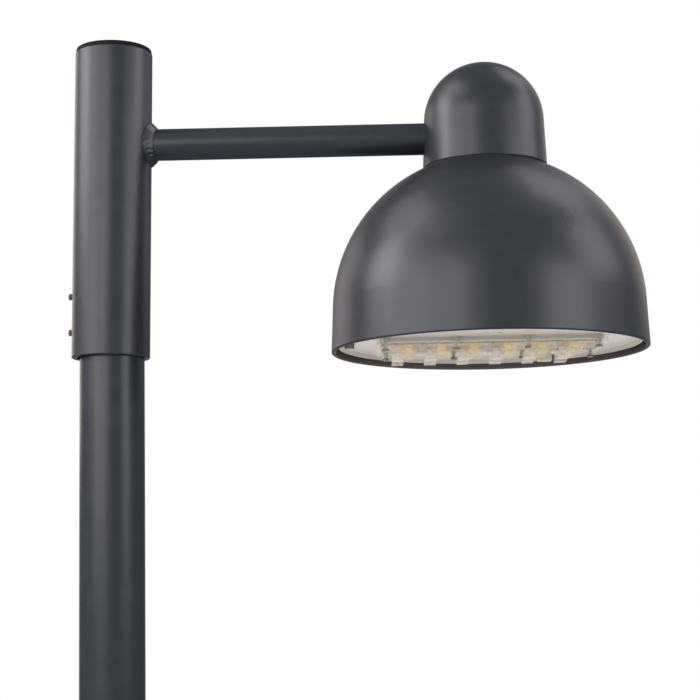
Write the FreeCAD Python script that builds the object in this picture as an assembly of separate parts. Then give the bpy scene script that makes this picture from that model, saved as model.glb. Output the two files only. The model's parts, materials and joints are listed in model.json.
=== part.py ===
import FreeCAD
import Part
import math
import os

# LED street lantern: a domed shade on a horizontal arm, carried by a sleeve over a round pole.
# Millimetres. The origin is the centre of the pole's lower end, +Z runs up the pole and +X along the arm.

# Pole and the sleeve that slips over it
pole_d = 60.3
pole_wall = 3.2
pole_show = 340.0           # pole that shows below the sleeve
sleeve_d = 73.0
sleeve_wall = 5.0
sleeve_length = 292.0
tube_chamfer = 0.8          # broken edge at the sleeve's ends
pole_seat_gap = 0.1         # pole to sleeve on the arm side, where the pole is pressed
pole_stop_gap = 0.2         # pole's top to the arm's stub, which stops it
pole_lean_gap = 0.5         # pole's top to the sleeve's back, where the loaded sleeve leans over

# Plug in the sleeve's top
plug_flange = 4.5
plug_inset = 0.9            # flange edge, in from the sleeve's outside
plug_round = 1.8
plug_depth = 16.0
plug_wall = 2.5
plug_gap = 0.15

# Clamp screws in the sleeve's back
clamp_d = 6.0
clamp_low = 24.5            # lower screw above the sleeve's bottom edge
clamp_pitch = 34.0
clamp_length = 10.5

# Arm and its weld
arm_d = 30.0
arm_wall = 3.0
arm_height = 203.0          # arm's axis above the sleeve's bottom edge
arm_stub = 6.0              # arm end that stands inside the sleeve
arm_hole_gap = 0.1
weld_leg = 6.4
reach = 353.6               # sleeve's axis at its bottom edge to the shade's axis

# Cap housing
cap_r = 56.5
cap_draft = 2.4             # flare of the collar below the dome, degrees
cap_wall = 4.0
cap_edge_round = 0.8
cap_center_up = 15.2        # dome's centre above the arm's axis
arm_insert = 42.0           # arm inside the housing, from its outer wall
socket_wall = 5.0
socket_gap = 0.15
arm_set_d = 6.0
arm_set_length = 10.0
arm_set_in = 7.0            # first set screw from the arm's end
arm_set_pitch = 12.0
boss_r = 7.0
boss_height = 34.0          # screw boss above the shade's crown

# Shade
bowl_r = 145.7
bowl_draft = 2.6            # flare of the skirt, degrees
bowl_wall = 4.0
crown_drop = 30.3           # arm's axis above the shade where the cap housing's edge meets it
skirt_height = 38.4         # dome's centre above the rim
rim_round = 1.4
crown_hole_d = 80.0
ledge_width = 8.0
ledge_height = 5.0

# Joint of the cap housing and the shade
gasket_t = 1.0
gasket_inset = 0.7
crown_screw_d = 6.0
crown_screw_length = 22.0
crown_screw_in = 9.5        # screw circle, in from the dome's radius
crown_angles = (0.0, 120.0, 240.0)
pad_r = 7.5
pad_min = 1.0               # least height of the screw pads inside the crown

# Tray that closes the shade
tray_depth = 9.1            # tray's underside above the rim
tray_t = 1.5
tray_lip = 3.7              # lip turned down below the tray's underside
tray_gap = 2.4              # tray's edge to the shade's inside
tray_screw_d = 5.0
tray_screw_length = 12.0
tray_screw_in = 10.0        # screw circle, in from the tray's edge
tray_screw_angles = (60.0, 180.0, 300.0)
post_r = 5.0
seal_t = 3.0
seal_width = 2.4
seal_gap = 0.5

# Light source under the tray
spreader_t = 3.0
spreader_margin = 1.0
board_t = 1.5
board_end = 25.25           # last lens to the board's end
board_side = 17.75          # lens row to the board's long edge
board_corner = 6.0
tab_x = 55.0                # middle of the board's connector tab
tab_width = 24.0
tab_edge = 2.5              # connector to the tab's end
chip_width = 5.0
chip_t = 0.7
chip_dome_r = 2.2
connector_length = 13.0
connector_width = 9.0
connector_height = 9.0
connector_wire_d = 2.4
connector_gap = 3.0         # connector to the optic's long edge

# Clear optic: rows of double-humped lenses, each with a fin beside it
lens_cols = 6
lens_rows = 2
lens_pitch = 30.5
row_pitch = 30.5
plate_t = 2.6
plate_end = 29.25           # last lens to the plate's end
plate_side = 28.25          # lens row to the plate's long edge
hump_r = 11.5
hump_spread = 4.5           # humps to either side of the light source
hump_sink = 4.5             # hump centres above the plate's face
cavity_r = 4.4
fin_offset = 7.6
fin_width = 11.0
fin_length = 17.0
fin_drop = 11.5
fin_lean = 2.5
fin_round = 2.0
groove_inset = 1.0          # groove, in from the board's edge
groove_width = 1.8
groove_depth = 1.2
groove_corner = 5.0
lens_screw_d = 3.0
lens_screw_pitch = 64.6
lens_screw_count = 4        # along each long edge
lens_screw_edge = 6.0       # screw row from the plate's long edge
pillar_r = 4.2
pillar_drop = 2.8           # pillar under the screw's head, below the plate's face
spacer_r = 2.8              # the pillar's neck above the plate, up to the tray
board_screw_d = 2.5
board_screw_count = 3       # along each long edge, between the lenses
board_screw_edge = 6.0      # screw row from the board's long edge

# Power supply, terminals and earth point on the tray
driver_length = 150.0
driver_width = 44.0
driver_height = 28.0
driver_round = 3.0
driver_ear = 10.0
driver_ear_t = 2.5
driver_nut_space = 4.0      # driver and terminals to the row of lens nuts
driver_screw_d = 4.0
driver_port_d = 3.2
driver_port_pitch = 8.0
driver_port_count = 4
port_block_depth = 14.0
port_block_height = 14.0
block_length = 48.0
block_width = 22.0
block_height = 19.0
block_step = 7.0            # height of the wire entries' ledge
block_floor = 1.0           # wire entries above that ledge
block_pole_count = 3
block_pole_pitch = 12.0
block_wire_d = 5.0
block_screw_d = 4.0
earth_d = 5.0
earth_length = 16.0
earth_space = 40.0          # stud to the terminal block's end

# Cable entries
arm_grommet_flange = 2.0
arm_grommet_edge = 2.0      # flange beyond the arm's bore
arm_grommet_depth = 8.0
arm_grommet_hole_d = 10.0
lead_space = 3.0            # bush to the driver's ear
lead_hole_d = 10.0
lead_grommet_edge = 2.0
lead_grommet_flange = 1.5
lead_grommet_hole_d = 6.0

# Clearances of small pieces
thread_gap = 0.1            # screw thread to its tapped hole
clear_gap = 0.3             # screw shank to a plain hole
bush_gap = 0.1              # bush or block to its hole
tip_gap = 0.05              # set screw's point to what it presses
touch = 1e-3

# Places that follow from the sizes above
up = FreeCAD.Vector(0, 0, 1)
down = FreeCAD.Vector(0, 0, -1)
along_arm = FreeCAD.Vector(1, 0, 0)
back = FreeCAD.Vector(-1, 0, 0)
across = FreeCAD.Vector(0, 1, 0)
origin = FreeCAD.Vector(0, 0, 0)

pole_r = pole_d / 2
pole_bore_r = pole_r - pole_wall
sleeve_r = sleeve_d / 2
sleeve_bore_r = sleeve_r - sleeve_wall
sleeve_x = -(sleeve_bore_r - pole_r - pole_seat_gap)
sleeve_bottom = pole_show
sleeve_top = sleeve_bottom + sleeve_length
arm_r = arm_d / 2
arm_bore_r = arm_r - arm_wall
arm_z = sleeve_bottom + arm_height
pole_top = arm_z - arm_r - pole_stop_gap
lean_shift = 2 * (sleeve_bore_r - pole_r) - pole_seat_gap - pole_lean_gap
lean = math.atan(lean_shift / (pole_top - sleeve_bottom))
sleeve_arm_x = sleeve_x + arm_height * math.tan(lean)
lamp_x = sleeve_x + reach
cap_z = arm_z + cap_center_up


def dome_skirt_r(radius, draft, center_z, z):
    """Radius of a dome's flaring skirt at a height below its tangent point."""
    slope = math.radians(draft)
    return radius * math.cos(slope) + (center_z + radius * math.sin(slope) - z) * math.tan(slope)


def sphere_top(radius, center_z, distance):
    """Height of a sphere's upper side at a distance from its axis."""
    return center_z + math.sqrt(radius ** 2 - distance ** 2)


bowl_z = arm_z - crown_drop - sphere_top(bowl_r, 0, cap_r)
rim_z = bowl_z - skirt_height
cap_wall_r = dome_skirt_r(cap_r, cap_draft, cap_z, arm_z)
arm_start = sleeve_arm_x + sleeve_bore_r - arm_stub
arm_end = lamp_x - cap_wall_r + arm_insert
socket_r = arm_r + socket_wall
crown_circle_r = cap_r - crown_screw_in
crown_pad_z = sphere_top(bowl_r - bowl_wall, bowl_z, crown_circle_r + pad_r) - pad_min
crown_seat_z = sphere_top(bowl_r, bowl_z, crown_circle_r - boss_r)

tray_under = rim_z + tray_depth
tray_top = tray_under + tray_t
tray_r = dome_skirt_r(bowl_r - bowl_wall, bowl_draft, bowl_z, tray_under) - tray_gap
tray_screw_circle_r = tray_r - tray_screw_in
ledge_z = tray_top + seal_t
ledge_r = dome_skirt_r(bowl_r - bowl_wall, bowl_draft, bowl_z, ledge_z) - ledge_width
seal_r = tray_screw_circle_r + post_r + seal_gap

plate_length = (lens_cols - 1) * lens_pitch + 2 * plate_end
plate_width = (lens_rows - 1) * row_pitch + 2 * plate_side
board_length = (lens_cols - 1) * lens_pitch + 2 * board_end
board_width = (lens_rows - 1) * row_pitch + 2 * board_side
board_top = tray_under - spreader_t
board_face = board_top - board_t
plate_face = board_face - plate_t
lens_screw_y = plate_width / 2 - lens_screw_edge
board_screw_y = board_width / 2 - board_screw_edge
tab_y = plate_width / 2 + connector_gap + connector_width / 2
tab_reach = tab_y + connector_width / 2 + tab_edge
nut_reach = lens_screw_y + 2 * lens_screw_d
driver_y = nut_reach + driver_nut_space + driver_width / 2
block_y = -(nut_reach + driver_nut_space + block_width / 2)
block_wire_z = tray_top + block_step + block_floor + block_wire_d / 2
lead_flange_r = lead_hole_d / 2 + lead_grommet_edge
lead_x = driver_length / 2 + driver_ear + lead_space + lead_flange_r


def spaced(count, pitch):
    """Evenly spaced places, centred on zero."""
    return [(index - (count - 1) / 2) * pitch for index in range(count)]


def on_circle(radius, angles):
    """Places on a circle about the shade's axis."""
    return [(lamp_x + radius * math.cos(math.radians(angle)), radius * math.sin(math.radians(angle)))
            for angle in angles]


lens_places = [(lamp_x + x, y) for y in spaced(lens_rows, row_pitch) for x in spaced(lens_cols, lens_pitch)]
lens_screw_places = [(lamp_x + x, side * lens_screw_y) for side in (-1, 1)
                     for x in spaced(lens_screw_count, lens_screw_pitch)]
board_screw_places = [(lamp_x + x, side * board_screw_y) for side in (-1, 1)
                      for x in spaced(board_screw_count, lens_cols / board_screw_count * lens_pitch)]
crown_places = on_circle(crown_circle_r, crown_angles)
tray_screw_places = on_circle(tray_screw_circle_r, tray_screw_angles)
driver_screw_places = [(lamp_x + side * (driver_length + driver_ear) / 2, driver_y) for side in (-1, 1)]
block_screw_places = [(lamp_x + x, block_y) for x in spaced(block_pole_count - 1, block_pole_pitch)]
earth_place = (lamp_x - block_length / 2 - earth_space, block_y)
lead_place = (lamp_x + lead_x, tab_y)
clamp_ups = [clamp_low + index * clamp_pitch for index in range(2)]
arm_set_places = [arm_end - arm_set_in - index * arm_set_pitch for index in range(2)]


# Basic forms
def rod(radius, length, x, y, z, axis=up):
    return Part.makeCylinder(radius, length, FreeCAD.Vector(x, y, z), axis)


def ring(outer_r, inner_r, length, x, y, z, axis=up):
    return rod(outer_r, length, x, y, z, axis).cut(rod(inner_r, length, x, y, z, axis))


def block(length, width, height, x, y, z):
    """Box centred on x and y, standing on z."""
    return Part.makeBox(length, width, height, FreeCAD.Vector(x - length / 2, y - width / 2, z))


def ball(radius, x, y, z):
    return Part.makeSphere(radius, FreeCAD.Vector(x, y, z))


def joined(shapes):
    return shapes[0].fuse(shapes[1:]).removeSplitter() if len(shapes) > 1 else shapes[0]


def placed(shape, x, y, z, axis=up):
    """Copy of a shape drawn about +Z, turned to an axis and moved to a place."""
    copy = shape.copy()
    copy.Placement = FreeCAD.Placement(FreeCAD.Vector(x, y, z), FreeCAD.Rotation(up, axis))
    return copy


def leaned(shape):
    """Copy of a shape drawn upright about the sleeve's axis, leaning towards the arm with the sleeve."""
    copy = shape.copy()
    copy.rotate(FreeCAD.Vector(sleeve_x, 0, sleeve_bottom), across, math.degrees(lean))
    return copy


def group(shapes):
    return Part.makeCompound(shapes)


def edges_at(shape, height):
    """Edges that lie wholly at one height."""
    return [edge for edge in shape.Edges
            if edge.BoundBox.ZLength < touch and abs(edge.BoundBox.ZMin - height) < touch]


def upright_edges(shape):
    return [edge for edge in shape.Edges
            if edge.BoundBox.XLength < touch and edge.BoundBox.YLength < touch]


def rounded_plate(length, width, thickness, corner, x, y, z):
    plate = block(length, width, thickness, x, y, z)
    return plate.makeFillet(corner, upright_edges(plate))


def dome(radius, draft, center_z, bottom_z):
    """Solid dome about the shade's axis: a sphere that runs tangent into a flaring skirt."""
    slope = math.radians(draft)
    half_way = (math.pi / 2 + slope) / 2
    top = FreeCAD.Vector(0, 0, center_z + radius)
    shoulder = FreeCAD.Vector(radius * math.cos(half_way), 0, center_z + radius * math.sin(half_way))
    tangent = FreeCAD.Vector(radius * math.cos(slope), 0, center_z + radius * math.sin(slope))
    foot = FreeCAD.Vector(dome_skirt_r(radius, draft, center_z, bottom_z), 0, bottom_z)
    middle = FreeCAD.Vector(0, 0, bottom_z)
    outline = Part.Wire([Part.Arc(top, shoulder, tangent).toShape(),
                         Part.LineSegment(tangent, foot).toShape(),
                         Part.LineSegment(foot, middle).toShape(),
                         Part.LineSegment(middle, top).toShape()])
    solid = Part.Face(outline).revolve(origin, up, 360)
    solid.translate(FreeCAD.Vector(lamp_x, 0, 0))
    return solid


def hexagon(across_flats, height, z):
    """Hexagonal prism about the Z axis."""
    corner = across_flats / math.sqrt(3)
    points = [FreeCAD.Vector(corner * math.cos(math.radians(60 * index)),
                             corner * math.sin(math.radians(60 * index)), z) for index in range(7)]
    return Part.Face(Part.makePolygon(points)).extrude(FreeCAD.Vector(0, 0, height))


# Fasteners in standard proportions, drawn about +Z with the seat at z = 0
def set_screw(diameter, length):
    """Point at z = 0, hexagon socket in the far end."""
    body = rod(diameter / 2, length, 0, 0, 0)
    body = body.makeChamfer(diameter / 8, edges_at(body, 0) + edges_at(body, length))
    return body.cut(hexagon(diameter / 2, diameter / 2, length - diameter / 2))


def pan_screw(diameter, length):
    """Rounded head below z = 0 with a crossed recess, shank above."""
    head_r = diameter
    head_h = 0.7 * diameter
    head = rod(head_r, head_h, 0, 0, -head_h)
    head = head.makeFillet(0.4 * head_h, edges_at(head, -head_h))
    recess = block(diameter, 0.25 * diameter, 0.4 * head_h, 0, 0, -head_h)
    cross = recess.fuse(block(0.25 * diameter, diameter, 0.4 * head_h, 0, 0, -head_h))
    return head.fuse(rod(diameter / 2, length, 0, 0, 0)).cut(cross)


def socket_screw(diameter, length):
    """Cylinder head below z = 0 with a hexagon socket, shank above."""
    head = rod(0.82 * diameter, diameter, 0, 0, -diameter)
    head = head.makeChamfer(0.08 * diameter, edges_at(head, -diameter))
    key = hexagon(0.83 * diameter, diameter / 2, -diameter)
    return head.fuse(rod(diameter / 2, length, 0, 0, 0)).cut(key)


def hex_screw(diameter, length):
    """Hexagon head on a washer face below z = 0, shank above."""
    face_t = 0.2 * diameter
    head_h = 0.7 * diameter
    face = rod(diameter, face_t, 0, 0, -face_t)
    head = hexagon(1.6 * diameter, head_h, -face_t - head_h)
    return joined([face, head, rod(diameter / 2, length, 0, 0, 0)])


def washer_t(diameter):
    return 0.27 * diameter


def washer(diameter):
    return ring(diameter, diameter / 2 + clear_gap, washer_t(diameter), 0, 0, 0)


def nut_height(diameter):
    return 0.8 * diameter


def nut(diameter):
    return hexagon(1.8 * diameter, nut_height(diameter), 0).cut(
        rod(diameter / 2 + thread_gap, nut_height(diameter), 0, 0, 0))


def drill(shape, radius, places, low, high):
    """Round holes along Z through a span of heights."""
    return shape.cut([rod(radius, high - low, x, y, low) for x, y in places])


# Pole, sleeve and plug
def make_pole_section():
    return ring(pole_r, pole_bore_r, pole_top, 0, 0, 0)


def make_pole_sleeve():
    tube = ring(sleeve_r, sleeve_bore_r, sleeve_length, sleeve_x, 0, sleeve_bottom)
    outer_ends = [edge for edge in edges_at(tube, sleeve_bottom) + edges_at(tube, sleeve_top)
                  if edge.BoundBox.XLength > 2 * sleeve_bore_r + touch]
    tube = tube.makeChamfer(tube_chamfer, outer_ends)
    tube = tube.cut([rod(clamp_d / 2 + thread_gap, sleeve_r, sleeve_x, 0, sleeve_bottom + above, back)
                     for above in clamp_ups])
    return leaned(tube).cut(rod(arm_r + arm_hole_gap, sleeve_d, sleeve_arm_x, 0, arm_z, along_arm))


def make_sleeve_end_cap():
    flange_r = sleeve_r - plug_inset
    spigot_r = sleeve_bore_r - plug_gap
    top = sleeve_top + plug_flange
    flange = rod(flange_r, plug_flange, sleeve_x, 0, sleeve_top)
    flange = flange.makeFillet(plug_round, edges_at(flange, top))
    spigot = ring(spigot_r, spigot_r - plug_wall, plug_depth, sleeve_x, 0, sleeve_top - plug_depth)
    lead_in = [edge for edge in edges_at(spigot, sleeve_top - plug_depth)
               if edge.BoundBox.XLength > 2 * (spigot_r - plug_wall) + touch]
    return leaned(flange.fuse(spigot.makeChamfer(plug_wall / 2, lead_in)).removeSplitter())


def make_clamp_screws():
    screw = set_screw(clamp_d, clamp_length)
    point_x = -pole_r - tip_gap
    return group([leaned(placed(screw, point_x - above * math.tan(lean), 0, sleeve_bottom + above, back))
                  for above in clamp_ups])


# Arm and weld
def make_arm_tube():
    return ring(arm_r, arm_bore_r, arm_end - arm_start, arm_start, 0, arm_z, along_arm)


def make_arm_weld():
    """Fillet weld: the corner between sleeve and arm is chamfered on their union, and only that is kept."""
    half = arm_r + 3 * weld_leg
    post = leaned(rod(sleeve_r, 2 * half, sleeve_x, 0, arm_z - half))
    arm = rod(arm_r, sleeve_r + 3 * weld_leg, sleeve_arm_x, 0, arm_z, along_arm)
    union = post.fuse(arm).removeSplitter()
    seam = []
    for edge in union.Edges:
        middle = edge.valueAt((edge.FirstParameter + edge.LastParameter) / 2)
        from_axis = (middle.x - sleeve_x) * math.cos(lean) - (middle.z - sleeve_bottom) * math.sin(lean)
        on_post = abs(math.hypot(from_axis, middle.y) - sleeve_r) < touch
        on_arm = abs(math.hypot(middle.y, middle.z - arm_z) - arm_r) < touch
        if on_post and on_arm:
            seam.append(edge)
    return union.makeChamfer(weld_leg, seam).cut([post, arm])


# Cap housing and what holds the arm in it
def make_cap_housing():
    outer = dome(cap_r, cap_draft, cap_z, bowl_z)
    inner = dome(cap_r - cap_wall, cap_draft, cap_z, bowl_z)
    shell = outer.cut(inner)
    socket_start = lamp_x - cap_wall_r - cap_wall
    socket = rod(socket_r, arm_end - socket_start, socket_start, 0, arm_z, along_arm).common(outer)
    casting = shell.fuse(socket).cut(ball(bowl_r + gasket_t, lamp_x, 0, bowl_z))
    bosses = [rod(boss_r, boss_height + bowl_r, x, y, crown_seat_z - bowl_r) for x, y in crown_places]
    bosses = [boss.common(outer).cut(ball(bowl_r, lamp_x, 0, bowl_z)) for boss in bosses]
    casting = casting.fuse(bosses).removeSplitter()
    lower_edge = [edge for edge in casting.Edges
                  if edge.BoundBox.ZLength < touch and edge.BoundBox.XLength > 2 * cap_r]
    casting = casting.makeFillet(cap_edge_round, lower_edge)
    cuts = [rod(arm_r + socket_gap, 2 * cap_r, lamp_x - 2 * cap_r, 0, arm_z, along_arm)]
    cuts += [rod(arm_set_d / 2 + thread_gap, socket_r, x, 0, arm_z - socket_r) for x in arm_set_places]
    cuts += [rod(crown_screw_d / 2 + thread_gap, crown_screw_length, x, y, crown_pad_z)
             for x, y in crown_places]
    return casting.cut(cuts)


def make_arm_set_screws():
    screw = set_screw(arm_set_d, arm_set_length)
    return group([placed(screw, x, 0, arm_z - arm_r - tip_gap, down) for x in arm_set_places])


def make_arm_grommet():
    flange = rod(arm_bore_r + arm_grommet_edge, arm_grommet_flange, arm_end, 0, arm_z, along_arm)
    neck = rod(arm_bore_r - bush_gap, arm_grommet_depth, arm_end, 0, arm_z, back)
    hole = rod(arm_grommet_hole_d / 2, arm_grommet_depth + arm_grommet_flange,
               arm_end - arm_grommet_depth, 0, arm_z, along_arm)
    return flange.fuse(neck).cut(hole)


# Shade and its joint with the cap housing
def make_cap_gasket():
    seat_z = sphere_top(bowl_r + gasket_t, bowl_z, cap_r)
    outer_r = dome_skirt_r(cap_r, cap_draft, cap_z, seat_z) - gasket_inset
    inner_r = dome_skirt_r(cap_r - cap_wall, cap_draft, cap_z, seat_z) + gasket_inset / 2
    band = ring(outer_r, inner_r, bowl_r + 2 * gasket_t, lamp_x, 0, bowl_z)
    return band.common(ball(bowl_r + gasket_t, lamp_x, 0, bowl_z)).cut(ball(bowl_r, lamp_x, 0, bowl_z))


def make_shade_bowl():
    outer = dome(bowl_r, bowl_draft, bowl_z, rim_z)
    inner = dome(bowl_r - bowl_wall, bowl_draft, bowl_z, rim_z)
    shell = outer.cut(inner)
    shell = shell.makeFillet(rim_round, edges_at(shell, rim_z))
    ledge = ring(bowl_r, ledge_r, ledge_height, lamp_x, 0, ledge_z).common(outer)
    posts = [rod(post_r, bowl_r + skirt_height, x, y, tray_top).common(outer) for x, y in tray_screw_places]
    pads = [rod(pad_r, bowl_r, x, y, crown_pad_z).common(outer) for x, y in crown_places]
    casting = shell.fuse([ledge] + posts + pads).removeSplitter()
    cuts = [rod(crown_hole_d / 2, bowl_r, lamp_x, 0, bowl_z)]
    cuts += [rod(crown_screw_d / 2 + clear_gap, bowl_r, x, y, crown_pad_z - touch) for x, y in crown_places]
    cuts += [rod(tray_screw_d / 2 + thread_gap, tray_screw_length, x, y, tray_top - touch)
             for x, y in tray_screw_places]
    return casting.cut(cuts)


def make_shade_screws():
    screw = socket_screw(crown_screw_d, crown_screw_length)
    return group([placed(screw, x, y, crown_pad_z - washer_t(crown_screw_d)) for x, y in crown_places])


def make_shade_washers():
    return group([placed(washer(crown_screw_d), x, y, crown_pad_z - washer_t(crown_screw_d))
                  for x, y in crown_places])


# Tray
def make_gear_tray():
    """Flat pan with its edge turned down."""
    edge_z = tray_under - tray_lip
    pan = rod(tray_r, tray_top - edge_z, lamp_x, 0, edge_z)
    pan = pan.makeFillet(tray_t, edges_at(pan, tray_top))
    pan = pan.cut(rod(tray_r - tray_t, tray_lip, lamp_x, 0, edge_z))
    pan = drill(pan, tray_screw_d / 2 + clear_gap, tray_screw_places, edge_z, tray_top)
    pan = drill(pan, lens_screw_d / 2 + clear_gap, lens_screw_places, edge_z, tray_top)
    pan = drill(pan, driver_screw_d / 2 + thread_gap, driver_screw_places, edge_z, tray_top)
    pan = drill(pan, block_screw_d / 2 + thread_gap, block_screw_places, edge_z, tray_top)
    return drill(pan, lead_hole_d / 2, [lead_place], edge_z, tray_top)


def make_tray_seal():
    return ring(seal_r + seal_width, seal_r, seal_t, lamp_x, 0, tray_top)


def make_tray_screws():
    screw = hex_screw(tray_screw_d, tray_screw_length)
    return group([placed(screw, x, y, tray_under) for x, y in tray_screw_places])


# Light source
def board_outline(margin, thickness, z):
    """Plate of the board's size with a margin, and a tab for the connector on its far edge."""
    plate = rounded_plate(board_length + 2 * margin, board_width + 2 * margin, thickness,
                          board_corner, lamp_x, 0, z)
    tab = block(tab_width + 2 * margin, tab_reach + margin, thickness,
                lamp_x + tab_x, (tab_reach + margin) / 2, z)
    return plate.fuse(tab).removeSplitter()


def make_heat_spreader():
    plate = board_outline(spreader_margin, spreader_t, board_top)
    return drill(plate, board_screw_d / 2 + thread_gap, board_screw_places, board_top, tray_under)


def make_led_board():
    plate = board_outline(0, board_t, board_face)
    return drill(plate, board_screw_d / 2 + clear_gap, board_screw_places, board_face, board_top)


def make_led_chips():
    base_z = board_face - chip_t
    chips = []
    for x, y in lens_places:
        dome_side = ball(chip_dome_r, x, y, base_z).common(block(chip_width, chip_width, chip_width,
                                                                 x, y, base_z - chip_width))
        chips.append(block(chip_width, chip_width, chip_t, x, y, base_z).fuse(dome_side))
    return group(chips)


def make_board_connector():
    """Block with wire entries in its outer side and release slots below."""
    x = lamp_x + tab_x
    low = board_face - connector_height
    body = block(connector_length, connector_width, connector_height, x, tab_y, low)
    body = body.makeChamfer(connector_wire_d / 3, edges_at(body, low))
    cuts = []
    for pole_x in spaced(2, connector_length / 2):
        cuts.append(rod(connector_wire_d / 2, connector_width, x + pole_x, tab_y,
                        board_face - connector_height / 2, across))
        cuts.append(block(connector_wire_d, connector_width / 2, connector_height / 4,
                          x + pole_x, tab_y, low))
    return body.cut(cuts)


# Clear optic
def groove_ring(depth):
    """Rounded band that runs round the lenses, on the optic's upper face."""
    outer_length = board_length - 2 * groove_inset
    outer_width = board_width - 2 * groove_inset
    low = board_face - depth
    outer = rounded_plate(outer_length, outer_width, depth, groove_corner, lamp_x, 0, low)
    inner = rounded_plate(outer_length - 2 * groove_width, outer_width - 2 * groove_width, depth,
                          groove_corner - groove_width, lamp_x, 0, low)
    return outer.cut(inner)


def make_lens():
    """One lens about the Z axis, hanging from z = 0: two overlapping humps and a leaning fin."""
    root = plate_t / 2
    reach_down = 2 * hump_r
    humps = [ball(hump_r, 0, side * hump_spread, hump_sink) for side in (-1, 1)]
    window = block(4 * hump_r, 4 * hump_r, reach_down + root, 0, 0, -reach_down)
    lens = humps[0].fuse(humps[1]).common(window)
    middle = -fin_offset
    corners = [(middle - fin_width / 2, root), (middle + fin_width / 2, root),
               (middle + fin_width / 2 - fin_lean, -fin_drop), (middle - fin_width / 2 - fin_lean, -fin_drop)]
    points = [FreeCAD.Vector(x, -fin_length / 2, z) for x, z in corners + corners[:1]]
    fin = Part.Face(Part.makePolygon(points)).extrude(FreeCAD.Vector(0, fin_length, 0))
    leaning = [edge for edge in fin.Edges if edge.BoundBox.ZLength > fin_drop]
    fin = fin.makeFillet(fin_round, leaning)
    return lens.fuse(fin)


def make_lens_plate():
    plate = rounded_plate(plate_length, plate_width, plate_t, board_corner, lamp_x, 0, plate_face)
    lens = make_lens()
    lenses = [placed(lens, x, y, plate_face) for x, y in lens_places]
    pillars = [rod(pillar_r, pillar_drop + plate_t, x, y, plate_face - pillar_drop)
               for x, y in lens_screw_places]
    spacers = [rod(spacer_r, tray_under - plate_face, x, y, plate_face) for x, y in lens_screw_places]
    optic = plate.fuse(lenses + pillars + spacers).removeSplitter()
    cavities = [ball(cavity_r, x, y, board_face) for x, y in lens_places]
    optic = optic.cut(cavities + [groove_ring(groove_depth)])
    optic = drill(optic, lens_screw_d / 2 + clear_gap, lens_screw_places,
                  plate_face - pillar_drop, tray_under)
    return drill(optic, board_screw_d + clear_gap, board_screw_places, plate_face, board_face)


def make_lens_gasket():
    return groove_ring(groove_depth)


def make_lens_screws():
    seat_z = plate_face - pillar_drop
    length = tray_top + nut_height(lens_screw_d) + lens_screw_d / 3 - seat_z
    screw = pan_screw(lens_screw_d, length)
    return group([placed(screw, x, y, seat_z) for x, y in lens_screw_places])


def make_lens_nuts():
    return group([placed(nut(lens_screw_d), x, y, tray_top) for x, y in lens_screw_places])


def make_board_screws():
    screw = pan_screw(board_screw_d, tray_under - board_face)
    return group([placed(screw, x, y, board_face) for x, y in board_screw_places])


# Power supply
def port_block_x(side):
    return lamp_x + side * (driver_length - port_block_depth) / 2


def make_led_driver():
    """Case with a screw ear at each end and a bay for the terminals above each ear."""
    case = block(driver_length, driver_width, driver_height, lamp_x, driver_y, tray_top)
    case = case.makeFillet(driver_round, upright_edges(case) + edges_at(case, tray_top + driver_height))
    bays = [block(port_block_depth + 2 * bush_gap, driver_width, port_block_height + bush_gap,
                  port_block_x(side), driver_y, tray_top + driver_height - port_block_height - bush_gap)
            for side in (-1, 1)]
    ears = [block(driver_ear + driver_round, driver_width / 2, driver_ear_t,
                  lamp_x + side * (driver_length + driver_ear - driver_round) / 2, driver_y, tray_top)
            for side in (-1, 1)]
    case = case.cut(bays).fuse(ears).removeSplitter()
    return drill(case, driver_screw_d / 2 + clear_gap, driver_screw_places, tray_top, tray_top + driver_ear_t)


def make_driver_terminals():
    low = tray_top + driver_height - port_block_height - bush_gap
    blocks = []
    for side in (-1, 1):
        body = block(port_block_depth, driver_width - 2 * driver_round, port_block_height, port_block_x(side),
                     driver_y, low)
        mouth_x = port_block_x(side) + side * port_block_depth / 2
        entries = [rod(driver_port_d / 2, port_block_depth / 2, mouth_x, driver_y + y,
                       low + port_block_height / 3, FreeCAD.Vector(-side, 0, 0))
                   for y in spaced(driver_port_count, driver_port_pitch)]
        presses = [block(driver_port_d, driver_port_d, port_block_height / 3,
                         port_block_x(side), driver_y + y, low + 2 * port_block_height / 3)
                   for y in spaced(driver_port_count, driver_port_pitch)]
        blocks.append(body.cut(entries + presses))
    return group(blocks)


def make_driver_screws():
    screw = pan_screw(driver_screw_d, driver_ear_t + tray_t)
    return group([placed(screw, x, y, tray_top + driver_ear_t, down) for x, y in driver_screw_places])


# Mains terminals and earth point
def make_terminal_block():
    """Stepped block: wire entries in the low sides, clamp screws in the high middle."""
    base = block(block_length, block_width, block_step, lamp_x, block_y, tray_top)
    tower = block(block_pole_pitch * block_pole_count, block_width / 2 + block_screw_d, block_height,
                  lamp_x, block_y, tray_top)
    body = base.fuse(tower).removeSplitter()
    poles = spaced(block_pole_count, block_pole_pitch)
    wires = [rod(block_wire_d / 2, block_width, lamp_x + x, block_y - block_width / 2, block_wire_z, across)
             for x in poles]
    wells = [rod(block_screw_d / 2 + thread_gap, block_height, lamp_x + x, block_y, block_wire_z)
             for x in poles]
    body = body.cut(wires + wells)
    return drill(body, block_screw_d / 2 + clear_gap, block_screw_places, tray_top, tray_top + block_height)


def make_terminal_screws():
    low = block_wire_z + block_wire_d / 2
    screw = set_screw(block_screw_d, tray_top + block_height - block_screw_d / 2 - low)
    poles = spaced(block_pole_count, block_pole_pitch)
    return group([placed(screw, lamp_x + x, block_y, low) for x in poles])


def make_block_screws():
    screw = pan_screw(block_screw_d, block_height + tray_t)
    return group([placed(screw, x, y, tray_top + block_height, down) for x, y in block_screw_places])


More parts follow.
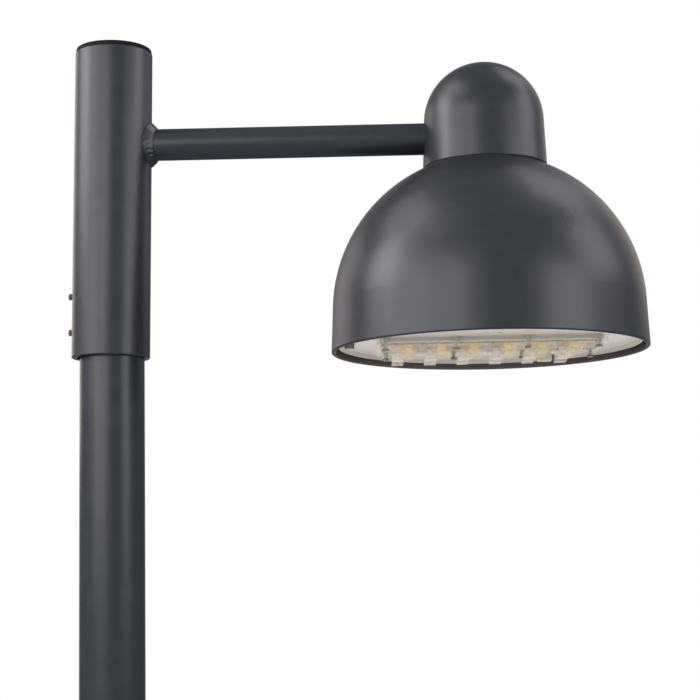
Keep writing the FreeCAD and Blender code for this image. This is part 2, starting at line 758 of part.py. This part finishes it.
def make_earth_stud():
    x, y = earth_place
    stud = rod(earth_d / 2, earth_length, x, y, tray_top)
    return stud.makeChamfer(earth_d / 10, edges_at(stud, tray_top + earth_length))


def make_earth_nut():
    x, y = earth_place
    return placed(nut(earth_d), x, y, tray_top)


def make_lead_grommet():
    x, y = lead_place
    neck = rod(lead_hole_d / 2 - bush_gap, tray_t, x, y, tray_under)
    lower = rod(lead_flange_r, lead_grommet_flange, x, y, tray_under - lead_grommet_flange)
    upper = rod(lead_flange_r, lead_grommet_flange, x, y, tray_top)
    body = joined([neck, lower, upper])
    return drill(body, lead_grommet_hole_d / 2, [lead_place], tray_under - lead_grommet_flange,
                 tray_top + lead_grommet_flange)


pieces = {
    "pole_section": make_pole_section,
    "pole_sleeve": make_pole_sleeve,
    "sleeve_end_cap": make_sleeve_end_cap,
    "clamp_screws": make_clamp_screws,
    "arm_tube": make_arm_tube,
    "arm_weld": make_arm_weld,
    "cap_housing": make_cap_housing,
    "arm_set_screws": make_arm_set_screws,
    "arm_grommet": make_arm_grommet,
    "cap_gasket": make_cap_gasket,
    "shade_bowl": make_shade_bowl,
    "shade_screws": make_shade_screws,
    "shade_washers": make_shade_washers,
    "gear_tray": make_gear_tray,
    "tray_seal": make_tray_seal,
    "tray_screws": make_tray_screws,
    "heat_spreader": make_heat_spreader,
    "led_board": make_led_board,
    "led_chips": make_led_chips,
    "board_connector": make_board_connector,
    "lens_gasket": make_lens_gasket,
    "lens_plate": make_lens_plate,
    "lens_screws": make_lens_screws,
    "lens_nuts": make_lens_nuts,
    "board_screws": make_board_screws,
    "led_driver": make_led_driver,
    "driver_terminals": make_driver_terminals,
    "driver_screws": make_driver_screws,
    "terminal_block": make_terminal_block,
    "terminal_screws": make_terminal_screws,
    "block_screws": make_block_screws,
    "earth_stud": make_earth_stud,
    "earth_nut": make_earth_nut,
    "lead_grommet": make_lead_grommet,
}

os.makedirs("parts", exist_ok=True)
for node, make in pieces.items():
    make().exportStep("parts/" + node + ".step")
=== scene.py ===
import json
import math
import bmesh
import bpy
import numpy as np
from mathutils import Matrix


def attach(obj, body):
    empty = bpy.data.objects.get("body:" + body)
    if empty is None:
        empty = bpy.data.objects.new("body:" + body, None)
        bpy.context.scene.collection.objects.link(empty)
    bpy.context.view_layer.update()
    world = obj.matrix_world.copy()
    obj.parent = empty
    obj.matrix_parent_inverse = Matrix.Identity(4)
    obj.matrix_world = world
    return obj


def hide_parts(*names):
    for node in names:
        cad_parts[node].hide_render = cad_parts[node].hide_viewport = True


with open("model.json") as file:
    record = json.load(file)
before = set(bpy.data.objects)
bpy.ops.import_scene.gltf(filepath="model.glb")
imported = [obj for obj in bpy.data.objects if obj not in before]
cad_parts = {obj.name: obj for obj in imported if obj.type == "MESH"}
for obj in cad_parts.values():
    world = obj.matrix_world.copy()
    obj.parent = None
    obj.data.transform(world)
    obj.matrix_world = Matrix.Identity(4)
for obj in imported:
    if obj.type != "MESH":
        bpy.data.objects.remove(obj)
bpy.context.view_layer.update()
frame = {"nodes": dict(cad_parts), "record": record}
nodes = frame["nodes"]
scene = bpy.context.scene
print("frame loaded:", len(nodes), "nodes")


# material helpers
def addNode(tree, kind, settings=None, sockets=None):
    made = tree.nodes.new(kind)
    for key, value in (settings or {}).items():
        setattr(made, key, value)
    for key, value in (sockets or {}).items():
        made.inputs[key].default_value = value
    return made


def startFinish(name, sockets):
    finish = bpy.data.materials.new(name)
    finish.use_nodes = True
    tree = finish.node_tree
    shader = tree.nodes["Principled BSDF"]
    for key, value in sockets.items():
        shader.inputs[key].default_value = value
    spot = addNode(tree, "ShaderNodeTexCoord").outputs["Object"]
    return finish, tree, shader, spot


# the two noises that every finish is made from, and the parts of their range that it uses
grainSpec = {"mottleDetail": 3.0, "grainDetail": 2.0, "noiseRoughness": 0.55, "grainShare": 0.5,
             "colourEnds": (0.32, 0.68), "roughnessEnds": (0.3, 0.7)}


def noiseField(tree, spot, scale, detail, stretch):
    # fractal noise on the piece's own coordinates, squeezed along an axis where stretch says so
    if stretch:
        squeezed = addNode(tree, "ShaderNodeMapping", None, {"Scale": stretch})
        tree.links.new(spot, squeezed.inputs["Vector"])
        spot = squeezed.outputs["Vector"]
    field = addNode(tree, "ShaderNodeTexNoise", None,
                    {"Scale": scale, "Detail": detail, "Roughness": grainSpec["noiseRoughness"]})
    tree.links.new(spot, field.inputs["Vector"])
    return field.outputs["Fac"]


def ramp(tree, factor, stops):
    # two stops, each a place and a colour
    made = addNode(tree, "ShaderNodeValToRGB")
    for stop, (place, colour) in zip(made.color_ramp.elements, stops):
        stop.position = place
        stop.color = (*colour, 1.0)
    tree.links.new(factor, made.inputs["Fac"])
    return made.outputs["Color"]


def span(tree, factor, low, high, start, end):
    # maps start..end to low..high and holds what lies outside
    made = addNode(tree, "ShaderNodeMapRange", None,
                   {"From Min": start, "From Max": end, "To Min": low, "To Max": high})
    tree.links.new(factor, made.inputs["Value"])
    return made.outputs["Result"]


def bumpFrom(tree, shader, height, strength, distance):
    made = addNode(tree, "ShaderNodeBump", None, {"Strength": strength, "Distance": distance})
    tree.links.new(height, made.inputs["Height"])
    tree.links.new(made.outputs["Normal"], shader.inputs["Normal"])


def shade(colour, factor):
    return tuple(min(1.0, channel * factor) for channel in colour)


def numberStep(tree, operation, first, second):
    made = addNode(tree, "ShaderNodeMath", {"operation": operation})
    tree.links.new(first, made.inputs[0])
    tree.links.new(second, made.inputs[1])
    return made.outputs[0]


def vectorStep(tree, operation, first, second=(0.0, 0.0, 0.0)):
    made = addNode(tree, "ShaderNodeVectorMath", {"operation": operation})
    tree.links.new(first, made.inputs[0])
    if isinstance(second, tuple):
        made.inputs[1].default_value = second
    else:
        tree.links.new(second, made.inputs[1])
    return made.outputs["Value" if operation == "LENGTH" else "Vector"]


def paintedGlintMask(tree, spot, fine, paintedGlint):
    # painted yellow reflection of each source in its lens, round the nearest lens axis: the distance from
    # that axis, in pitches, is the place less the middle of its cell, where the cell is the floor of the
    # place, held to the ends of the lens grid; the mask fades outwards and breaks up with the fine grain
    pitch = paintedGlint["pitch"]
    columns, rows = paintedGlint["grid"]
    shifted = vectorStep(tree, "SUBTRACT", spot, paintedGlint["middle"])
    place = vectorStep(tree, "MULTIPLY", shifted, (1 / pitch, 1 / pitch, 0.0))
    cell = vectorStep(tree, "FLOOR", place)
    cell = vectorStep(tree, "MAXIMUM", cell, (-columns / 2, -rows / 2, 0.0))
    cell = vectorStep(tree, "MINIMUM", cell, (columns / 2 - 1, rows / 2 - 1, 0.0))
    axis = vectorStep(tree, "ADD", cell, (0.5, 0.5, 0.0))
    away = vectorStep(tree, "LENGTH", vectorStep(tree, "SUBTRACT", place, axis))
    faded = span(tree, away, 1.0, 0.0, *paintedGlint["reach"])
    broken = span(tree, fine, *paintedGlint["strength"], *paintedGlint["grainEnds"])
    return numberStep(tree, "MULTIPLY", faded, broken)


def insideMask(tree, spot, inside):
    # painted light that the white tray throws on the shade's wall: 1 within the wall and below the tray,
    # else 0: a step over the distance from the axis, times a step over the height
    shifted = vectorStep(tree, "SUBTRACT", spot, inside["middle"])
    away = vectorStep(tree, "LENGTH", vectorStep(tree, "MULTIPLY", shifted, (1.0, 1.0, 0.0)))
    apart = addNode(tree, "ShaderNodeSeparateXYZ")
    tree.links.new(shifted, apart.inputs[0])
    within = span(tree, away, 1.0, 0.0, *inside["wall"])
    below = span(tree, apart.outputs["Z"], 1.0, 0.0, *inside["top"])
    return numberStep(tree, "MULTIPLY", within, below)


def tintWhere(tree, painted, mask, colour):
    # colour sockets of the mix node: 6 and 7 in, 2 out
    tinted = addNode(tree, "ShaderNodeMix", {"data_type": "RGBA"}, {7: (*colour, 1.0)})
    tree.links.new(mask, tinted.inputs[0])
    tree.links.new(painted, tinted.inputs[6])
    return tinted.outputs[2]


def grainFinish(name, look):
    # colour, roughness and bump all follow two noises: a broad mottle and a fine grain
    finish, tree, shader, spot = startFinish(name, look.get("sockets", {}))
    stretch = look.get("stretch")
    broad = noiseField(tree, spot, look["mottleScale"], grainSpec["mottleDetail"], stretch)
    fine = noiseField(tree, spot, look["grainScale"], grainSpec["grainDetail"], stretch)
    mixed = addNode(tree, "ShaderNodeMix", {"data_type": "FLOAT"}, {"Factor": grainSpec["grainShare"]})
    tree.links.new(broad, mixed.inputs["A"])
    tree.links.new(fine, mixed.inputs["B"])
    field = mixed.outputs["Result"]
    darker = shade(look["colour"], 1 - look["spread"])
    lighter = shade(look["colour"], 1 + look["spread"])
    painted = ramp(tree, field, zip(grainSpec["colourEnds"], (darker, lighter)))
    # painted yellow reflection of the sources in the lenses
    if "paintedGlint" in look:
        paintedGlint = look["paintedGlint"]
        painted = tintWhere(tree, painted, paintedGlintMask(tree, spot, fine, paintedGlint), paintedGlint["colour"])
    # painted light on the shade's wall below the tray
    if "inside" in look:
        inside = look["inside"]
        painted = tintWhere(tree, painted, insideMask(tree, spot, inside), inside["colour"])
    tree.links.new(painted, shader.inputs["Base Color"])
    rough = span(tree, field, *look["roughness"], *grainSpec["roughnessEnds"])
    tree.links.new(rough, shader.inputs["Roughness"])
    bumpFrom(tree, shader, fine, look["bump"], look["bumpDepth"])
    return finish


# powder coat with a mica sheen: part of the gloss is metallic, with a dark edge tint
coatSheen = {"Metallic": 0.62, "Specular IOR Level": 0.0, "Specular Tint": (0.5, 0.5, 0.5, 1.0)}
coatLook = {
    "colour": (0.0340, 0.0372, 0.0460), "spread": 0.08, "roughness": (0.31, 0.37),
    "mottleScale": 60.0, "grainScale": 900.0, "bump": 0.12, "bumpDepth": 0.0004,
    # painted light: the shade's wall below the white tray is lighter and browner, for the light the tray
    # throws on it
    "inside": {"middle": (0.35235, 0.0, 0.0), "wall": (0.1447, 0.1451), "top": (0.3515, 0.3525),
               "colour": (0.091, 0.082, 0.086)},
    "sockets": coatSheen,
}
poleLook = {
    "colour": (0.0332, 0.0366, 0.0449), "spread": 0.08, "roughness": (0.30, 0.36),
    "mottleScale": 45.0, "grainScale": 800.0, "bump": 0.12, "bumpDepth": 0.0004, "sockets": coatSheen,
}
# clear moulding: part see-through, part refracting,
# with a painted yellow reflection of the source above it round each lens axis
opticLook = {
    "colour": (0.97, 0.94, 0.86), "spread": 0.06, "roughness": (0.03, 0.10),
    "mottleScale": 60.0, "grainScale": 420.0, "bump": 0.8, "bumpDepth": 0.0008,
    "paintedGlint": {"middle": (0.35235, 0.0, 0.0), "grid": (6, 2), "pitch": 0.0305, "reach": (0.16, 0.34),
              "strength": (0.3, 1.0), "grainEnds": (0.38, 0.62), "colour": (1.0, 0.80, 0.02)},
    "sockets": {"Transmission Weight": 0.28, "IOR": 1.58, "Alpha": 0.38},
}
finishes = {
    "anthracite_coat": grainFinish("anthraciteCoat", coatLook),
    "pole_coat": grainFinish("poleCoat", poleLook),
    "cap_plastic": grainFinish("capPlastic", {
        "colour": (0.0125, 0.0138, 0.0162), "spread": 0.15, "roughness": (0.5, 0.65),
        "mottleScale": 80.0, "grainScale": 1500.0, "bump": 0.2, "bumpDepth": 0.0003,
        "sockets": {"Specular IOR Level": 0.0}}),
    "white_coat": grainFinish("whiteCoat", {
        "colour": (0.63, 0.63, 0.625), "spread": 0.04, "roughness": (0.26, 0.36),
        "mottleScale": 35.0, "grainScale": 700.0, "bump": 0.04, "bumpDepth": 0.0003}),
    "bare_aluminium": grainFinish("bareAluminium", {
        "colour": (0.66, 0.66, 0.64), "spread": 0.08, "roughness": (0.35, 0.5),
        "mottleScale": 60.0, "grainScale": 400.0, "stretch": (0.1, 1.0, 1.0),
        "bump": 0.1, "bumpDepth": 0.0002, "sockets": {"Metallic": 0.25}}),
    "board_white": grainFinish("boardWhite", {
        "colour": (0.95, 0.89, 0.70), "spread": 0.05, "roughness": (0.3, 0.45),
        "mottleScale": 120.0, "grainScale": 900.0, "bump": 0.05, "bumpDepth": 0.0002}),
    "led_phosphor": grainFinish("ledPhosphor", {
        "colour": (0.98, 0.75, 0.004), "spread": 0.10, "roughness": (0.15, 0.3),
        "mottleScale": 700.0, "grainScale": 3000.0, "bump": 0.05, "bumpDepth": 0.0001}),
    "clear_optic": grainFinish("clearOptic", opticLook),
    "screw_steel": grainFinish("screwSteel", {
        "colour": (0.20, 0.193, 0.178), "spread": 0.15, "roughness": (0.25, 0.4),
        "mottleScale": 300.0, "grainScale": 2500.0, "bump": 0.1, "bumpDepth": 0.0001,
        "sockets": {"Metallic": 1.0}}),
    "dark_steel": grainFinish("darkSteel", {
        "colour": (0.05, 0.05, 0.054), "spread": 0.2, "roughness": (0.35, 0.5),
        "mottleScale": 300.0, "grainScale": 2500.0, "bump": 0.1, "bumpDepth": 0.0001,
        "sockets": {"Specular IOR Level": 0.2}}),
    "seal_rubber": grainFinish("sealRubber", {
        "colour": (0.030, 0.034, 0.042), "spread": 0.15, "roughness": (0.7, 0.85),
        "mottleScale": 150.0, "grainScale": 1800.0, "bump": 0.2, "bumpDepth": 0.0002,
        "sockets": {"Specular IOR Level": 0.0}}),
    "grey_rubber": grainFinish("greyRubber", {
        "colour": (0.42, 0.42, 0.40), "spread": 0.1, "roughness": (0.6, 0.75),
        "mottleScale": 150.0, "grainScale": 1800.0, "bump": 0.2, "bumpDepth": 0.0002}),
    "white_plastic": grainFinish("whitePlastic", {
        "colour": (0.66, 0.66, 0.60), "spread": 0.05, "roughness": (0.35, 0.5),
        "mottleScale": 120.0, "grainScale": 1500.0, "bump": 0.1, "bumpDepth": 0.0002}),
    "driver_plastic": grainFinish("driverPlastic", {
        "colour": (0.58, 0.58, 0.57), "spread": 0.05, "roughness": (0.4, 0.55),
        "mottleScale": 90.0, "grainScale": 1500.0, "bump": 0.15, "bumpDepth": 0.0002}),
    "terminal_plastic": grainFinish("terminalPlastic", {
        "colour": (0.17, 0.18, 0.19), "spread": 0.08, "roughness": (0.4, 0.55),
        "mottleScale": 120.0, "grainScale": 1500.0, "bump": 0.15, "bumpDepth": 0.0002}),
}
for row in frame["record"]["subparts"]:
    mesh = nodes[row["node"]].data
    mesh.materials.clear()
    mesh.materials.append(finishes[row["material_slot"]])
print("finishes set:", len(finishes))


# surface helpers
weldGap = 1e-7  # metres; points closer than this are one


def gridMesh(name, points, closeU=False, closeV=False, weld=False):
    # points has shape (copies, rows, columns, 3) or (rows, columns, 3); neighbours become quads, wrapped
    # where a direction closes; weld joins points that fall together, such as a pole
    points = points if points.ndim == 4 else points[None]
    copies, rows, columns = points.shape[:3]
    index = np.arange(rows * columns).reshape(rows, columns)
    if closeU:
        index = np.vstack([index, index[:1]])
    if closeV:
        index = np.hstack([index, index[:, :1]])
    quads = np.stack([index[:-1, :-1], index[1:, :-1], index[1:, 1:], index[:-1, 1:]], -1)
    starts = np.arange(copies) * rows * columns
    quads = (quads.reshape(1, -1, 4) + starts[:, None, None]).reshape(-1, 4)
    mesh = bpy.data.meshes.new(name)
    mesh.from_pydata(points.reshape(-1, 3).tolist(), [], quads.tolist())
    if weld:
        shell = bmesh.new()
        shell.from_mesh(mesh)
        bmesh.ops.remove_doubles(shell, verts=shell.verts, dist=weldGap)
        bmesh.ops.recalc_face_normals(shell, faces=shell.faces)
        shell.to_mesh(mesh)
        shell.free()
    mesh.validate()
    made = bpy.data.objects.new(name, mesh)
    scene.collection.objects.link(made)
    return made


def dressPiece(piece, slot, node):
    # smooth faces, the slot's finish, a seat on the one body, and hides the node that the piece stands for
    piece.data.polygons.foreach_set("use_smooth", np.ones(len(piece.data.polygons), bool))
    piece.data.materials.append(finishes[slot])
    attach(piece, "root")
    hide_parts(node)


# weld bead between arm and sleeve, in millimetres
beadSpec = {
    "sleeveX": -1.25, "sleeveFoot": 340.0, "sleeveR": 36.5,
    "leanSlope": 2.1 / 187.8,  # the sleeve's play across the pole, over its length on it
    "armZ": 543.0, "armR": 15.0, "leg": 6.3, "lift": 0.06,
    "bulge": 0.55, "bluntness": 0.6, "share": 0.7,  # the crown, its power, and its part in each distance
    "sway": 0.15, "swayTurns": 2, "swayStart": 0.7,  # slow change of the crown along the seam
    "ripple": 0.70, "ripples": 22, "slant": 1.9, "notch": 0.6,
    "wander": 0.8, "wanderTurns": 3,  # uneven distance between ripples
    "calm": 0.10, "calmStart": 0.45, "calmRate": 1.1,  # ripples are weak on the seam's upper side
    "around": 480, "across": 24, "under": 5,
}


def weldBead(spec):
    # t turns about the arm's axis and v runs from the toe on the sleeve to the toe on the arm; the distance
    # from the arm shrinks with 1 - v while the distance from the sleeve grows with v, and half a sine wave
    # over v, blunted and notched by a slanted wave along t, swells both; the section closes behind along
    # the two tubes
    lift, leg = spec["lift"], spec["leg"]
    t = np.linspace(0, 2 * np.pi, spec["around"], endpoint=False)[:, None]
    v = np.linspace(0, 1, spec["across"])[None, :]
    halfWave = np.sin(np.pi * v)
    lively = np.clip(spec["calmStart"] - spec["calmRate"] * np.sin(t), 0, 1)
    ripple = spec["ripple"] * (spec["calm"] + (1 - spec["calm"]) * lively)
    phase = spec["ripples"] * t + spec["wander"] * np.sin(spec["wanderTurns"] * t)
    wave = np.abs(np.sin(phase / 2 + spec["slant"] * halfWave))
    crown = np.clip(halfWave, 0, 1) ** spec["bluntness"]
    sway = spec["sway"] * np.sin(spec["swayTurns"] * t + spec["swayStart"])
    swell = spec["share"] * crown * (spec["bulge"] + sway + ripple * (wave - spec["notch"]))
    back = np.linspace(1, 0, spec["under"])[None, 1:] + 0 * t
    fromArm = np.hstack([lift + leg * (1 - v) + swell, 0 * back + lift, lift + leg * (1 - back[:, :-1])])
    fromSleeve = np.hstack([lift + leg * v + swell, lift + leg * back, 0 * back[:, :-1] + lift])
    reach = spec["armR"] + fromArm
    y = reach * np.cos(t)
    z = spec["armZ"] + reach * np.sin(t)
    axisX = spec["sleeveX"] + (z - spec["sleeveFoot"]) * spec["leanSlope"]
    x = axisX + np.sqrt(spec["sleeveR"] ** 2 - y ** 2) + fromSleeve
    return np.stack([x, y, z], -1) / 1000


bead = gridMesh("weldBead", weldBead(beadSpec), closeU=True, closeV=True)
dressPiece(bead, "anthracite_coat", "arm_weld")
print("weld laid:", len(bead.data.polygons), "faces")


# light sources under the lenses, in millimetres: a squarish package with a phosphor dome
sourceSpec = {
    "middle": (352.35, 0.0), "columns": 6, "rows": 2, "pitch": 30.5, "board": 344.6,
    "package": 0.9, "halfWidth": 3.6, "squareness": 4.0, "edgeIn": 0.05, "edgeUp": 0.12,
    "domeR": 3.6, "domeDrop": 2.6, "around": 40, "steps": 12,
}


def lightSources(spec):
    # t turns about the source's axis; from row to row the radius grows with the sine of a quarter turn
    # along the dome while the height follows its cosine, then jumps to a superellipse for the package's
    # face and side, and falls back to nothing on the board; every source is one shifted copy
    board, power = spec["board"], spec["squareness"]
    face = board - spec["package"]
    t = np.linspace(0, 2 * np.pi, spec["around"], endpoint=False)[None, :]
    arc = np.linspace(0, np.pi / 2, spec["steps"])[:, None]
    square = (np.abs(np.cos(t)) ** power + np.abs(np.sin(t)) ** power) ** (-1 / power)
    side = spec["halfWidth"] * square
    reach = np.vstack([spec["domeR"] * np.sin(arc) + 0 * t, side - spec["edgeIn"], side, side, 0 * t])
    dome = face - spec["domeDrop"] * np.cos(arc)
    level = np.vstack([dome, [[face], [face + spec["edgeUp"]], [board], [board]]]) + 0 * t
    one = np.stack([reach * np.cos(t), reach * np.sin(t), level], -1)
    columns = (np.arange(spec["columns"]) - (spec["columns"] - 1) / 2) * spec["pitch"] + spec["middle"][0]
    rows = (np.arange(spec["rows"]) - (spec["rows"] - 1) / 2) * spec["pitch"] + spec["middle"][1]
    x, y = np.meshgrid(columns, rows)
    places = np.stack([x, y, 0 * x], -1).reshape(-1, 1, 1, 3)
    return (one[None] + places) / 1000


sources = gridMesh("lightSources", lightSources(sourceSpec), closeV=True, weld=True)
dressPiece(sources, "led_phosphor", "led_chips")
print("light sources set:", sourceSpec["columns"] * sourceSpec["rows"])


# floor: a wide flat disc, radius times angle on a grid, with closer rings near the middle
floorSpec = {
    "middleX": 0.2, "radius": 4.0, "level": -0.0015, "rings": 24, "spokes": 96,
    "hub": 0.0005, "ringPower": 1.5,  # innermost ring as a share of the radius, and how the rings crowd
    "colour": (0.40, 0.415, 0.44), "shadowReach": 0.25, "shadowTone": 0.62, "shadowEnd": 0.9,
}
white = (1.0, 1.0, 1.0)
radii = np.linspace(floorSpec["hub"], 1.0, floorSpec["rings"])[:, None] ** floorSpec["ringPower"]
radii = radii * floorSpec["radius"]
turns = np.linspace(0, 2 * np.pi, floorSpec["spokes"], endpoint=False)[None, :]
floorPoints = np.stack([radii * np.cos(turns) + floorSpec["middleX"], radii * np.sin(turns),
                        floorSpec["level"] + 0 * radii * turns], -1)
floor = gridMesh("floor", floorPoints, closeV=True)


def whiteWhereSeen(tree, plain, bright):
    # camera, glossy and transmission rays meet the bright branch, all others the plain one
    path = addNode(tree, "ShaderNodeLightPath")
    seen = numberStep(tree, "MAXIMUM", path.outputs["Is Camera Ray"], path.outputs["Is Glossy Ray"])
    seen = numberStep(tree, "MAXIMUM", seen, path.outputs["Is Transmission Ray"])
    both = addNode(tree, "ShaderNodeMixShader")
    tree.links.new(seen, both.inputs["Fac"])
    tree.links.new(plain, both.inputs[1])
    tree.links.new(bright, both.inputs[2])
    return both.outputs["Shader"]


floorFinish = bpy.data.materials.new("paleFloor")
floorFinish.use_nodes = True
floorTree = floorFinish.node_tree
floorTree.nodes.clear()
plainFloor = addNode(floorTree, "ShaderNodeBsdfDiffuse", None, {"Color": (*floorSpec["colour"], 1.0)})
contact = addNode(floorTree, "ShaderNodeAmbientOcclusion", None, {"Distance": floorSpec["shadowReach"]})
shadow = shade(white, floorSpec["shadowTone"])
softShadow = ramp(floorTree, contact.outputs["AO"], [(0.0, shadow), (floorSpec["shadowEnd"], white)])
brightFloor = addNode(floorTree, "ShaderNodeEmission", None, {"Strength": 1.0})
floorTree.links.new(softShadow, brightFloor.inputs["Color"])
floorOut = addNode(floorTree, "ShaderNodeOutputMaterial")
floorLook = whiteWhereSeen(floorTree, plainFloor.outputs["BSDF"], brightFloor.outputs["Emission"])
floorTree.links.new(floorLook, floorOut.inputs["Surface"])
floor.data.materials.append(floorFinish)
print("floor laid")


# studio: white surround and soft boxes, each turned about the lantern from the camera's side
# a box is turn in degrees, distance, height, the height it aims at, width and height of its face, watts
studio = {
    "middle": (0.2, 0.0), "ambientTint": (0.5, 0.75, 1.0), "ambientLevel": 0.1, "tint": (1.0, 0.88, 0.735),
    "boxes": {
        "frontLeft": (-18, 1.55, 0.80, 0.50, 0.5, 0.6, 5.5),
        "leftLow": (-40, 1.55, 0.42, 0.40, 1.2, 0.5, 8.7),
        "leftFront": (-42, 1.55, 1.10, 0.50, 1.2, 0.6, 6.5),
        "leftMid": (-60, 1.55, 0.80, 0.50, 1.2, 0.7, 10.3),
        "leftSide": (-88, 1.50, 1.15, 0.50, 0.9, 0.8, 32.7),
        "leftBack": (-135, 1.55, 0.80, 0.50, 0.8, 0.9, 16.2),
        "frontTop": (-60, 1.00, 1.75, 0.50, 0.9, 0.7, 5.6),
        "leftTop": (-100, 1.00, 1.75, 0.50, 1.0, 0.8, 14.0),
        "rightFront": (55, 1.55, 0.60, 0.45, 0.9, 0.7, 11.9),
        "rightSide": (88, 1.50, 1.15, 0.50, 0.9, 0.8, 15.4),
        "rightBack": (135, 1.50, 1.05, 0.50, 0.8, 0.9, 5.7),
        "rightTop": (115, 1.00, 1.75, 0.50, 0.9, 0.8, 18.5),
    },
}
world = bpy.data.worlds.new("studio")
scene.world = world
world.use_nodes = True
worldTree = world.node_tree
worldTree.nodes.clear()
dimSky = addNode(worldTree, "ShaderNodeBackground", None,
                 {"Color": (*studio["ambientTint"], 1.0), "Strength": studio["ambientLevel"]})
whiteSky = addNode(worldTree, "ShaderNodeBackground", None, {"Color": (*white, 1.0), "Strength": 1.0})
worldOut = addNode(worldTree, "ShaderNodeOutputWorld")
skyLook = whiteWhereSeen(worldTree, dimSky.outputs["Background"], whiteSky.outputs["Background"])
worldTree.links.new(skyLook, worldOut.inputs["Surface"])


def standMatrix(right, upward, back, place):
    # columns are right, up, backwards and the place, as lamps and cameras use them
    made = np.eye(4)
    made[:3] = np.column_stack([right, upward, back, place])
    return Matrix(made.tolist())


def lookMatrix(place, aim):
    # stands at the place and faces the aim, with level sides
    back = np.array(place, float) - np.array(aim, float)
    back /= np.linalg.norm(back)
    right = np.cross((0.0, 0.0, 1.0), back)
    right /= np.linalg.norm(right)
    return standMatrix(right, np.cross(back, right), back, place)


middleX, middleY = studio["middle"]
for name, (degrees, away, height, aim, wide, tall, power) in studio["boxes"].items():
    lamp = bpy.data.lights.new(name, "AREA")
    lamp.shape = "RECTANGLE"
    lamp.size, lamp.size_y = wide, tall
    lamp.energy = power
    lamp.color = studio["tint"]
    turn = math.radians(degrees)
    place = (middleX + away * math.sin(turn), middleY - away * math.cos(turn), height)
    holder = bpy.data.objects.new(name, lamp)
    holder.matrix_world = lookMatrix(place, (middleX, middleY, aim))
    holder.visible_camera = False
    scene.collection.objects.link(holder)
print("studio lit")


# camera: turned by yaw, raised by pitch, then rolled about its own axis
cameraSpec = {"place": (0.25147, -1.66913, 0.12638), "yaw": -0.0176, "pitch": 0.1294, "roll": -0.0178,
              "focalPixels": 1807.5, "imagePixels": 700.0, "sensor": 36.0, "clip": (0.01, 50.0)}
yaw, pitch, roll = cameraSpec["yaw"], cameraSpec["pitch"], cameraSpec["roll"]
ahead = np.array([math.sin(yaw) * math.cos(pitch), math.cos(yaw) * math.cos(pitch), math.sin(pitch)])
level = np.array([math.cos(yaw), -math.sin(yaw), 0.0])
upright = np.cross(level, ahead)
right = math.cos(roll) * level + math.sin(roll) * upright
upward = -math.sin(roll) * level + math.cos(roll) * upright
cameraData = bpy.data.cameras.new("photoCamera")
cameraData.sensor_width = cameraSpec["sensor"]
cameraData.lens = cameraSpec["focalPixels"] / cameraSpec["imagePixels"] * cameraSpec["sensor"]
cameraData.clip_start, cameraData.clip_end = cameraSpec["clip"]
camera = bpy.data.objects.new("photoCamera", cameraData)
camera.matrix_world = standMatrix(right, upward, -ahead, cameraSpec["place"])
scene.collection.objects.link(camera)
scene.camera = camera
scene.view_settings.view_transform = "Standard"
print("camera set")
